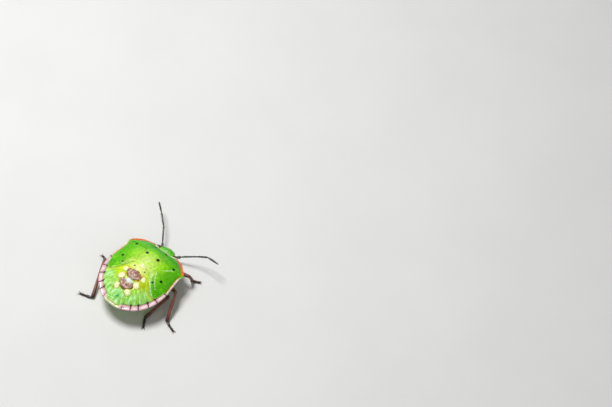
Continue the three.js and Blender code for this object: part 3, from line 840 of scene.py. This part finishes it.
def head(material):
    """Two side lobes and the narrow middle lobe between them, with the cheeks below."""
    rings, sides = 150, 180
    t = np.linspace(0, 1, rings)
    along = HEAD_LENGTH * np.sin(t * math.pi / 2)[:, None]
    turn = np.linspace(0, 2 * math.pi, sides, endpoint=False)[None, :]
    cap = np.sqrt(np.clip(1 - ((along - HEAD_ROUND_FRONT) / (HEAD_LENGTH - HEAD_ROUND_FRONT)) ** 2, 0, 1))
    cap = np.where(along < HEAD_ROUND_FRONT, 1, cap)
    width = head_half_width(along) * cap
    sine, cosine = np.sin(turn), np.cos(turn)
    across = width * np.sign(cosine) * np.abs(cosine) ** 0.8
    is_top = np.broadcast_to(sine >= 0, across.shape)
    thickness = np.where(is_top, head_top(along), head_bottom(along)) * (0.25 + 0.75 * cap**0.7)
    up = thickness * np.sign(sine) * np.abs(sine) ** 0.85 * cap**0.3
    along = np.broadcast_to(along, across.shape)
    out = np.abs(across)
    lobe_line = 0.2 - 0.05 * ramp(along, 0.5, 1.28)
    groove = bump(out - lobe_line, 0.03) * ramp(along, 0.35, 0.55)
    relief = -0.03 * groove + 0.02 * bump(across, 0.13) * ramp(along, 0.4, 0.7)
    relief += 0.03 * bump(out - width + 0.06, 0.05) * ramp(along, 0.6, 0.8)
    relief -= 0.02 * bump(np.hypot(out - 0.42, along - 0.45), 0.13)
    relief += 0.01 * ripples(across, along, 0.3, 51)
    cheek = 0.09 * bump(out - 0.2, 0.06) * ramp(along, 0.35, 0.6)
    up = up + np.where(is_top, relief * np.abs(sine), -cheek * np.abs(sine))
    grain = ripples(across, along, 0.3, 52)
    paint = Coat(HEAD_GREEN, across.shape)
    paint.lay(PAD_LIGHT_GREEN, 0.5 * bump(across, 0.15) * ramp(along, 0.4, 0.8) * is_top)
    paint.lay(SCUTELLUM_YELLOW, 0.5 * bump(along - 0.08, 0.12) * is_top)
    paint.lay(PRONOTUM_GREEN * 0.55, 0.7 * groove * is_top)
    edge = ramp(out - width, -0.07, -0.02) * ramp(along, 0.55, 0.75)
    paint.lay(MARGIN_ORANGE * 0.9, 0.75 * edge)
    dots = bump(np.hypot(out - 0.45, along - 0.24), 0.06) + bump(np.hypot(out - 0.12, along - 0.16), 0.04)
    paint.lay(DOT_BLACK, 0.85 * dots * is_top)
    paint.lay(BELLY_PALE, 0.85 * (1 - is_top) * ramp(-sine + 0 * across, 0.1, 0.5))
    colours = np.clip(paint.colour * (1 + 0.06 * grain)[..., None], 0, 1)
    points = head_place(across, along, up)
    pits = np.append(np.where(is_top, 0.9, 0.2).ravel(), [0, 0])
    ends = [points[0].mean(axis=0), points[-1].mean(axis=0)]
    soup = Soup()
    soup.add_tube(points, ends, colours, [HEAD_GREEN, HEAD_GREEN], pits, turned=True)
    return soup.make("head_shell", material)


def ball(centre, half_sizes, rings=48, sides=64):
    """Points, outward directions and faces of a ball in the head's frame."""
    t = np.linspace(0, math.pi, rings + 2)[1:-1, None]
    turn = np.linspace(0, 2 * math.pi, sides, endpoint=False)[None, :]
    directions = np.stack([
        np.sin(t) * np.cos(turn), np.sin(t) * np.sin(turn), np.broadcast_to(np.cos(t), (rings, sides)),
    ], -1).reshape(-1, 3)
    directions = np.concatenate([directions, [[0, 0, 1], [0, 0, -1]]])
    points = np.array(centre) + directions * np.array(half_sizes)
    return points, directions, tube_faces(rings, sides, turned=True)


def eye(side, material):
    """A bulging eye, darkest in front, with a paler rim where it meets the head."""
    centre = (side * EYE_PLACE[0], EYE_PLACE[1], EYE_PLACE[2])
    points, directions, faces = ball(centre, EYE_HALF_SIZES)
    outward = side * directions[:, 0]
    rim_paint = ramp(-outward, -0.25, 0.15)
    paint = Coat(EYE_BROWN, points.shape[:1])
    paint.lay(EYE_RIM, rim_paint)
    paint.lay(EYE_FRONT, 0.6 * ramp(directions[:, 1], 0.0, 0.8))
    soup = Soup()
    soup.add(head_place(*points.T), faces, paint.colour)
    return soup.make("eye_dome_right" if side > 0 else "eye_dome_left", material)


hairs = Soup()


def unit(vector):
    vector = np.asarray(vector, float)
    return vector / np.linalg.norm(vector)


def add_hairs(centre, axis, across, up, radius_at, amount, length, lean, colour, patch):
    """Fine hairs on a segment: three-sided cones that lean toward its far end."""
    t = rng.uniform(0.04, 0.97, amount)
    turn = rng.uniform(0, 2 * math.pi, amount)
    normal = np.cos(turn)[:, None] * across + np.sin(turn)[:, None] * up
    root = centre(t) + normal * (radius_at(t) * 0.97)[:, None]
    sway = rng.normal(0, 0.16, (amount, 3))
    direction = lean * axis + (1 - lean) * normal + sway
    direction /= np.linalg.norm(direction, axis=1)[:, None]
    tip = root + direction * (length * rng.uniform(0.6, 1.15, amount))[:, None]
    tip[:, 2] = np.maximum(tip[:, 2], 0.004)
    side = np.cross(direction, axis + 0.01)
    side /= np.linalg.norm(side, axis=1)[:, None]
    other = np.cross(direction, side)
    corners = []
    for corner in range(3):
        angle = 2 * math.pi * corner / 3
        corners.append(root + HAIR_RADIUS * (math.cos(angle) * side + math.sin(angle) * other))
    points = np.stack([*corners, tip], 1).reshape(-1, 3)
    first = np.arange(amount) * 4
    faces = [
        np.stack([first, first + 1, first + 3], -1),
        np.stack([first + 1, first + 2, first + 3], -1),
        np.stack([first + 2, first, first + 3], -1),
        np.stack([first + 2, first + 1, first], -1),
    ]
    spot = np.stack([patch[0] + patch[2] * t, patch[1] + 0.08 * turn / (2 * math.pi)], -1)
    spread = 0.0015 * np.array([[-1, -1], [1, -1], [0, 1], [0, 0]])
    places = (spot[:, None, :] + spread[None]).reshape(-1, 2)
    hairs.add(points, faces, colour, 0.0, places)


class Limb:
    """A leg or feeler built segment by segment into one mesh."""

    def __init__(self, index):
        self.index = index
        self.soup = Soup()
        self.segments = 0

    def segment(self, start, end, radii, colours, sag=0.0, ridges=0.0, flat=1.0, hair=None,
                rings=56, sides=28):
        """A closed, round-ended segment. radii and colours are (place, value) lists from 0 to 1."""
        start, end = np.asarray(start, float), np.asarray(end, float)
        axis = unit(end - start)
        length = np.linalg.norm(end - start)
        across = unit(np.cross(axis, (0, 0, 1)) if abs(axis[2]) < 0.95 else np.cross(axis, (0, 1, 0)))
        up = np.cross(across, axis)
        radius_at = curve(radii)

        def centre(place):
            place = np.asarray(place)
            arch = sag * 4 * place * (1 - place)
            return start + np.multiply.outer(place, end - start) + np.multiply.outer(arch, up)

        t = (1 - np.cos(np.linspace(0, math.pi, rings))) / 2
        radius = radius_at(t)
        from_start, from_end = t * length, (1 - t) * length
        cap = np.ones_like(t)
        for distance, end_radius in ((from_start, radius_at(0.0)), (from_end, radius_at(1.0))):
            depth = 0.8 * end_radius
            cap *= np.sqrt(np.clip(1 - np.clip(1 - distance / depth, 0, 1) ** 2, 0, 1))
        turn = np.linspace(0, 2 * math.pi, sides, endpoint=False)
        ridge = 1 + ridges * np.cos(4 * turn)[None, :] * ramp(t, 0.08, 0.2)[:, None]
        reach = (radius * np.maximum(cap, 0.02))[:, None] * ridge
        around = np.cos(turn)[None, :, None] * across + flat * np.sin(turn)[None, :, None] * up
        points = centre(t)[:, None, :] + reach[..., None] * around
        points[..., 2] = np.maximum(points[..., 2], 0.003)
        places, values = zip(*colours)
        paint = np.stack([np.interp(t, places, [value[i] for value in values]) for i in range(3)], -1)
        speckle = ripples(t[:, None] * length + 3 * self.index, turn[None, :] * 0.1, 0.16, 60 + self.segments)
        paint = paint[:, None, :] * (1 + 0.1 * speckle)[..., None]
        paint = np.clip(paint, 0, 1)
        self.soup.add_tube(points, [centre(0.0), centre(1.0)], paint, paint[(0, -1), 0])
        if hair:
            patch = (0.02 + 0.12 * self.segments, 0.02 + 0.11 * self.index, 0.1)
            add_hairs(centre, axis, across, up, radius_at, hair["amount"], hair["length"], hair["lean"],
                      hair.get("colour", HAIR_BROWN), patch)
        self.segments += 1

    def claw(self, start, direction, sideways, length):
        """A hooked claw: a cone bent down to the floor."""
        t = np.linspace(0, 1, 14)
        start = np.asarray(start, float)
        spine = start + np.multiply.outer(t * length, direction) + np.multiply.outer(
            0.35 * length * np.sin(t * 2.2), sideways)
        spine[:, 2] = start[2] + 0.045 * np.sin(t * math.pi) - (start[2] - 0.012) * t**2
        sides = 10
        turn = np.linspace(0, 2 * math.pi, sides, endpoint=False)
        radius = CLAW_RADIUS * (1 - t) ** 0.7 + 0.004
        across = unit(np.cross(direction, (0, 0, 1)))
        around = np.cos(turn)[:, None] * across + np.sin(turn)[:, None] * np.array([0, 0, 1.0])
        points = spine[:, None, :] + radius[:, None, None] * around
        points[..., 2] = np.maximum(points[..., 2], 0.003)
        colours = np.broadcast_to(CLAW_BROWN, points.shape)
        self.soup.add_tube(points, [spine[0], spine[-1]], colours, [CLAW_BROWN, CLAW_BROWN])


def foot(limb, ankle, toe, shin):
    """Two joints of the foot, with two claws and the pads under them."""
    sole = np.array([ankle[0], ankle[1], SOLE_HEIGHT])
    tread = toe - sole
    length = np.linalg.norm(tread)
    forward = tread / length
    sideways = np.array([forward[1], -forward[0], 0])
    black = [(0, LEG_BLACK), (1, LEG_BLACK)]
    pads = {"amount": 150, "length": 0.075, "lean": 0.7}
    limb.segment(ankle - 0.04 * shin, sole + 0.46 * tread, [(0, 0.085), (0.3, 0.1), (0.8, 0.115), (1, 0.09)],
                 [(0, LEG_DARK), (0.2, LEG_BLACK), (1, LEG_BLACK)], flat=0.9, hair=pads)
    limb.segment(sole + 0.42 * tread, sole + 0.86 * tread, [(0, 0.07), (0.3, 0.088), (0.75, 0.1), (1, 0.07)],
                 black, flat=0.9, hair=pads)
    tip = sole + 0.84 * tread
    reach = length * 0.16 + 0.1
    for turn in (-1, 1):
        root = tip + turn * 0.035 * sideways
        direction = unit(forward + turn * 0.25 * sideways)
        limb.claw(root, direction, turn * sideways * 0.4, reach)
        pad = root + 0.35 * reach * direction
        limb.segment(root + (0, 0, -0.03), pad + (0, 0, -0.055), [(0, 0.03), (0.6, 0.045), (1, 0.035)],
                     [(0, SOLE_BROWN), (1, SOLE_PALE)], rings=16, sides=12)


def leg(name, index, plan, material):
    """A leg from its socket under the thorax to its two claws."""
    limb = Limb(index)
    side = plan["side"]
    hip = np.array([side * HIP["side"], plan["coxa"], HIP["height"]])
    knee = np.array(plan["knee"], float)
    ankle = np.array([*plan["ankle"], ANKLE_HEIGHT])
    toe = np.array([*plan["toe"], SOLE_HEIGHT])
    socket = np.array([side * COXA_SIDE, plan["coxa"], COXA_HEIGHT])
    fuzz = {"amount": 260, "length": 0.09, "lean": 0.62}
    limb.segment(socket, hip + (hip - socket) * 0.1, [(0, 0.34), (0.45, 0.3), (0.8, 0.22), (1, 0.17)],
                 [(0, BELLY_GREEN), (0.6, LEG_GREEN), (1, LEG_GREEN)])
    thigh = unit(knee - hip)
    limb.segment(hip - 0.12 * thigh, hip + 0.24 * thigh, [(0, 0.15), (0.5, 0.19), (1, 0.15)],
                 [(0, LEG_GREEN), (1, LEG_BROWN)])
    limb.segment(hip + 0.16 * thigh, knee + 0.07 * thigh,
                 [(0, 0.13), (0.12, 0.16), (0.45, 0.205), (0.75, 0.185), (0.92, 0.15), (1, 0.14)],
                 [(0, LEG_GREEN), (0.3, LEG_BROWN), (0.75, LEG_BROWN), (1, LEG_DARK)], sag=0.03, hair=fuzz)
    shin = unit(ankle - knee)
    limb.segment(knee - 0.05 * shin, ankle + 0.03 * shin,
                 [(0, 0.12), (0.07, 0.115), (0.4, 0.13), (0.8, 0.14), (0.95, 0.16), (1, 0.13)],
                 [(0, LEG_DARK), (0.12, LEG_BROWN), (0.7, LEG_BROWN), (0.93, LEG_DARK), (1, LEG_BLACK)],
                 sag=0.03, ridges=0.07, hair={"amount": 420, "length": 0.1, "lean": 0.6})
    foot(limb, ankle, toe, shin)
    piece = limb.soup.make(f"{name}_limb", material)
    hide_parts(name)
    return piece


def antenna(name, index, joints, material):
    """Four segments, each a little club, on a tubercle in front of the eye."""
    limb = Limb(index)
    side = 1 if joints[0][0] > 0 else -1
    knob, socket = (head_place(side * place[0], *place[1:]) for place in (FEELER_KNOB, FEELER_SOCKET))
    joints = [np.array(joint) for joint in joints]
    limb.segment(knob, socket, [(0, 0.2), (0.6, 0.16), (1, 0.13)], [(0, HEAD_GREEN), (1, HEAD_GREEN)])
    fuzz = {"amount": 170, "length": 0.06, "lean": 0.55, "colour": HAIR_PALE}
    limb.segment(socket, joints[1], [(0, 0.07), (0.2, 0.1), (0.7, 0.12), (1, 0.08)],
                 [(0, FEELER_GREEN), (0.3, FEELER_TEAL), (1, FEELER_BLACK)], hair=fuzz)
    shapes = [
        [(0, 0.045), (0.1, 0.06), (0.8, 0.068), (0.95, 0.072), (1, 0.05)],
        [(0, 0.04), (0.12, 0.06), (0.6, 0.074), (0.9, 0.072), (1, 0.045)],
        [(0, 0.04), (0.15, 0.066), (0.45, 0.082), (0.8, 0.066), (1, 0.035)],
    ]
    tints = [
        [(0, FEELER_BLACK), (0.15, FEELER_TEAL), (0.85, FEELER_TEAL), (1, FEELER_BLACK)],
        [(0, FEELER_TEAL), (0.3, FEELER_BLACK), (1, FEELER_BLACK)],
        [(0, FEELER_TEAL), (0.2, FEELER_BLACK), (1, FEELER_BLACK)],
    ]
    for order, (shape, tint) in enumerate(zip(shapes, tints)):
        start, end = joints[order + 1], joints[order + 2]
        along = unit(end - start)
        if order == 2:
            end = end + 0.09 * along
        limb.segment(start - 0.02 * along, end + 0.02 * along, shape, tint, sag=0.03,
                     hair={"amount": 330, "length": 0.065, "lean": 0.5, "colour": HAIR_PALE})
        limb.segment(start - 0.05 * along, start + 0.05 * along, [(0, 0.045), (1, 0.045)],
                     [(0, KNUCKLE_BROWN), (1, KNUCKLE_BROWN)], rings=12, sides=16)
    piece = limb.soup.make(f"{name}_feeler", material)
    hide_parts(name)
    return piece


def rostrum(material):
    """The jointed beak, folded back along the underside."""
    limb = Limb(len(LEGS) + len(ANTENNAE))
    joints = [np.array(joint) for joint in ROSTRUM_JOINTS]
    radii = [0.15, 0.14, 0.125, 0.11, 0.035]
    tints = [BELLY_GREEN, BELLY_PALE, BEAK_OLIVE, BEAK_BROWN, BEAK_TIP]
    for order in range(4):
        start, end = joints[order], joints[order + 1]
        along = unit(end - start)
        limb.segment(start - 0.03 * along, end + 0.03 * along,
                     [(0, 0.85 * radii[order]), (0.2, radii[order]), (0.85, radii[order + 1]),
                      (1, 0.85 * radii[order + 1])],
                     [(0, tints[order]), (1, tints[order + 1])], flat=0.85)
    piece = limb.soup.make("beak", material)
    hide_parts("rostrum")
    return piece


class Look:
    """A material in the making: its node tree, its shader and the place on the piece in millimetres."""

    def __init__(self, name):
        self.material = bpy.data.materials.new(name)
        self.material.use_nodes = True
        self.tree = self.material.node_tree
        self.shader = self.tree.nodes["Principled BSDF"]
        coordinates = self.node("ShaderNodeTexCoord")
        scaled = self.node("ShaderNodeVectorMath", {"operation": "SCALE"},
                           {0: coordinates.outputs["Object"], "Scale": 1 / MM})
        self.place = scaled.outputs[0]

    def put(self, socket, value):
        """Sets a socket, or links it where the value is another node's output."""
        if isinstance(value, bpy.types.NodeSocket):
            self.tree.links.new(value, socket)
        else:
            socket.default_value = value

    def node(self, kind, settings=None, inputs=None):
        node = self.tree.nodes.new(kind)
        for name, value in (settings or {}).items():
            setattr(node, name, value)
        for name, value in (inputs or {}).items():
            self.put(node.inputs[name], value)
        return node

    def attribute(self, name, output):
        return self.node("ShaderNodeAttribute", {"attribute_name": name}).outputs[output]

    def maths(self, operation, first, second):
        return self.node("ShaderNodeMath", {"operation": operation}, {0: first, 1: second}).outputs[0]

    def noise(self, scale, detail):
        inputs = {"Vector": self.place, "Scale": scale, "Detail": detail, "Roughness": 0.55}
        return self.node("ShaderNodeTexNoise", None, inputs).outputs["Fac"]

    def cells(self, scale, randomness):
        inputs = {"Vector": self.place, "Scale": scale, "Randomness": randomness}
        return self.node("ShaderNodeTexVoronoi", {"feature": "F1"}, inputs).outputs["Distance"]

    def spread(self, value, low, high, to_low=0.0, to_high=1.0):
        """Smoothly maps low to high onto to_low to to_high."""
        inputs = {"Value": value, "From Min": low, "From Max": high, "To Min": to_low, "To Max": to_high}
        return self.node("ShaderNodeMapRange", {"interpolation_type": "SMOOTHSTEP"}, inputs).outputs[0]

    def mix(self, factor, first, second, blend="MIX"):
        settings = {"data_type": "RGBA", "blend_type": blend}
        return self.node("ShaderNodeMix", settings, {0: factor, 6: first, 7: second}).outputs[2]

    def relief(self, height, strength, depth):
        inputs = {"Strength": strength, "Distance": depth * MM, "Height": height}
        self.put(self.shader.inputs["Normal"], self.node("ShaderNodeBump", None, inputs).outputs[0])

    def done(self, colour, **values):
        """Puts the colour and the named values on the shader."""
        self.put(self.shader.inputs["Base Color"], colour)
        for name, value in values.items():
            self.put(self.shader.inputs[name.replace("_", " ")], value)
        return self.material


def shell_material(name, roughness, coat, pit_size):
    """Painted shell under a wet gloss, with dark pits where the Pits attribute asks for them."""
    look = Look(name)
    paint = look.attribute("Paint", "Color")
    pitted = look.attribute("Pits", "Fac")
    pit = look.maths("MULTIPLY", look.spread(look.cells(1 / pit_size, 0.85), 0.12, 0.36, 1.0, 0.0), pitted)
    mottle = look.noise(2.2, 4.0)
    fine = look.noise(14.0, 3.0)
    colour = look.mix(look.spread(mottle, 0.3, 0.7, 0.0, 0.22), paint, (0.9, 1.0, 0.55, 1), "SOFT_LIGHT")
    colour = look.mix(look.maths("MULTIPLY", pit, 0.8), colour, (0.3, 0.42, 0.16, 1), "MULTIPLY")
    look.relief(look.maths("SUBTRACT", look.maths("MULTIPLY", fine, 0.35), pit), 0.8, 0.02)
    look.shader.inputs["Specular IOR Level"].default_value = 0.2
    return look.done(
        colour,
        Roughness=look.spread(fine, 0.3, 0.7, roughness - 0.06, roughness + 0.08),
        Coat_Weight=coat,
        Coat_Roughness=0.06,
        Subsurface_Weight=0.12,
        Subsurface_Radius=(0.6, 1.0, 0.25),
        Subsurface_Scale=0.25 * MM,
    )


def limb_material(name, roughness, coat, grain_depth):
    """Painted limbs with a fine grain."""
    look = Look(name)
    paint = look.attribute("Paint", "Color")
    fine = look.noise(18.0, 3.0)
    mottle = look.noise(4.0, 2.0)
    colour = look.mix(look.spread(mottle, 0.35, 0.7, 0.0, 0.35), paint, (0.55, 0.5, 0.45, 1), "MULTIPLY")
    look.relief(fine, 0.6, grain_depth)
    rough = look.spread(fine, 0.3, 0.7, roughness - 0.07, roughness + 0.08)
    return look.done(colour, Roughness=rough, Coat_Weight=coat, Coat_Roughness=0.15)


def eye_material():
    """Dark facets under a clear gloss."""
    look = Look("eye_facets")
    paint = look.attribute("Paint", "Color")
    facets = look.cells(26.0, 0.15)
    colour = look.mix(look.spread(facets, 0.1, 0.6), paint, (0.2, 0.1, 0.08, 1), "MULTIPLY")
    look.relief(look.maths("MULTIPLY", facets, -1.0), 0.5, 0.01)
    return look.done(colour, Roughness=0.22, Coat_Weight=0.8, Coat_Roughness=0.05)


def hair_material():
    """Brown hairs, paler in patches."""
    look = Look("hair")
    paint = look.attribute("Paint", "Color")
    tint = look.spread(look.noise(3.0, 2.0), 0.3, 0.7, 0.0, 0.4)
    colour = look.mix(tint, paint, (0.7, 0.6, 0.45, 1), "MULTIPLY")
    return look.done(colour, Roughness=0.45)


def floor():
    """A plain pale floor, wide enough for every view."""
    mesh = bpy.data.meshes.new("floor")
    reach, steps = 1.2, 48
    turn = np.linspace(0, 2 * math.pi, steps, endpoint=False)
    edge = [(reach * math.cos(a), reach * math.sin(a), 0) for a in turn]
    mesh.from_pydata([(0, 0, 0), *edge], [], [(0, 1 + i, 1 + (i + 1) % steps) for i in range(steps)])
    obj = bpy.data.objects.new("floor", mesh)
    bpy.context.scene.collection.objects.link(obj)
    look = Look("pale_floor")
    tone = look.spread(look.noise(0.1, 3.0), 0.3, 0.7)
    colour = look.mix(tone, (0.69, 0.69, 0.675, 1), (0.71, 0.71, 0.695, 1))
    look.shader.inputs["Specular IOR Level"].default_value = 0.2
    mesh.materials.append(look.done(colour, Roughness=0.75))


def camera():
    right = Vector(CAMERA_RIGHT).normalized()
    up = (Vector(CAMERA_UP) - right * right.dot(Vector(CAMERA_UP))).normalized()
    back = right.cross(up)
    axes = Matrix((right, up, back)).transposed()
    focal = LENS / SENSOR * IMAGE_WIDTH
    aim = Vector(((SHOULDER_PIXEL[0] - IMAGE_WIDTH / 2) / focal,
                  -(SHOULDER_PIXEL[1] - IMAGE_HEIGHT / 2) / focal, -1))
    # The shoulders are seen along back, though they lie off the picture's middle
    swing = (axes @ aim.normalized()).rotation_difference(-back)
    axes = swing.to_matrix() @ axes
    shoulders = Vector(to_world([0, 0, MARGIN_HEIGHT]))
    distance = focal / PIXELS_PER_MM * MM * aim.length
    data = bpy.data.cameras.new("camera")
    data.lens = LENS
    data.sensor_width = SENSOR
    data.clip_start = 0.005
    data.clip_end = 10
    obj = bpy.data.objects.new("camera", data)
    obj.matrix_world = Matrix.Translation(shoulders + back * distance) @ axes.to_4x4()
    bpy.context.scene.collection.objects.link(obj)
    bpy.context.scene.camera = obj


def area_light(name, direction, distance, size, power):
    """A soft box that shines on the bug from a direction."""
    data = bpy.data.lights.new(name, "AREA")
    data.shape = "RECTANGLE"
    data.size, data.size_y = size
    data.energy = power
    obj = bpy.data.objects.new(name, data)
    target = Vector(to_world([0, -2.4, 2.0]))
    away = Vector(direction).normalized()
    obj.location = target + away * distance
    obj.rotation_euler = away.to_track_quat("Z", "Y").to_euler()
    bpy.context.scene.collection.objects.link(obj)


def lighting():
    area_light("key", (-0.36, 0.02, 0.93), 0.14, (0.05, 0.045), 0.2)
    area_light("fill", (0.8, -0.5, 0.6), 0.2, (0.16, 0.16), 0.05)
    area_light("rim", (-0.5, 0.9, 0.5), 0.2, (0.14, 0.1), 0.035)
    world = bpy.data.worlds.new("studio")
    world.use_nodes = True
    backdrop = world.node_tree.nodes["Background"]
    backdrop.inputs["Color"].default_value = (0.94, 0.95, 0.96, 1)
    backdrop.inputs["Strength"].default_value = 0.2
    bpy.context.scene.world = world
    bpy.context.scene.view_settings.view_transform = "Standard"


def main():
    camera()
    lighting()
    floor()
    shell = shell_material("shell", 0.36, 0.32, 0.12)
    leg_finish = limb_material("leg_shell", 0.4, 0.3, 0.006)
    feeler_finish = limb_material("feeler_shell", 0.36, 0.35, 0.004)
    eye_finish = eye_material()

    body = body_skin(shell)
    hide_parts("pronotum", "thorax", "abdomen")
    skull = head(shell)
    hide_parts("head")
    pieces = [body, skull]
    for side, node in ((-1, "eye_left"), (1, "eye_right")):
        piece = eye(side, eye_finish)
        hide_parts(node)
        pieces.append(piece)
    for index, (name, plan) in enumerate(LEGS.items()):
        piece = leg(name, index, plan, leg_finish)
        pieces.append(piece)
    for index, (name, joints) in enumerate(ANTENNAE.items()):
        piece = antenna(name, index + len(LEGS), joints, feeler_finish)
        pieces.append(piece)
    beak = rostrum(leg_finish)
    pieces.append(beak)
    coat = hairs.make("limb_hairs", hair_material(), coat_map=True)
    pieces.append(coat)
    for piece in pieces:
        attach(piece, "root")


main()
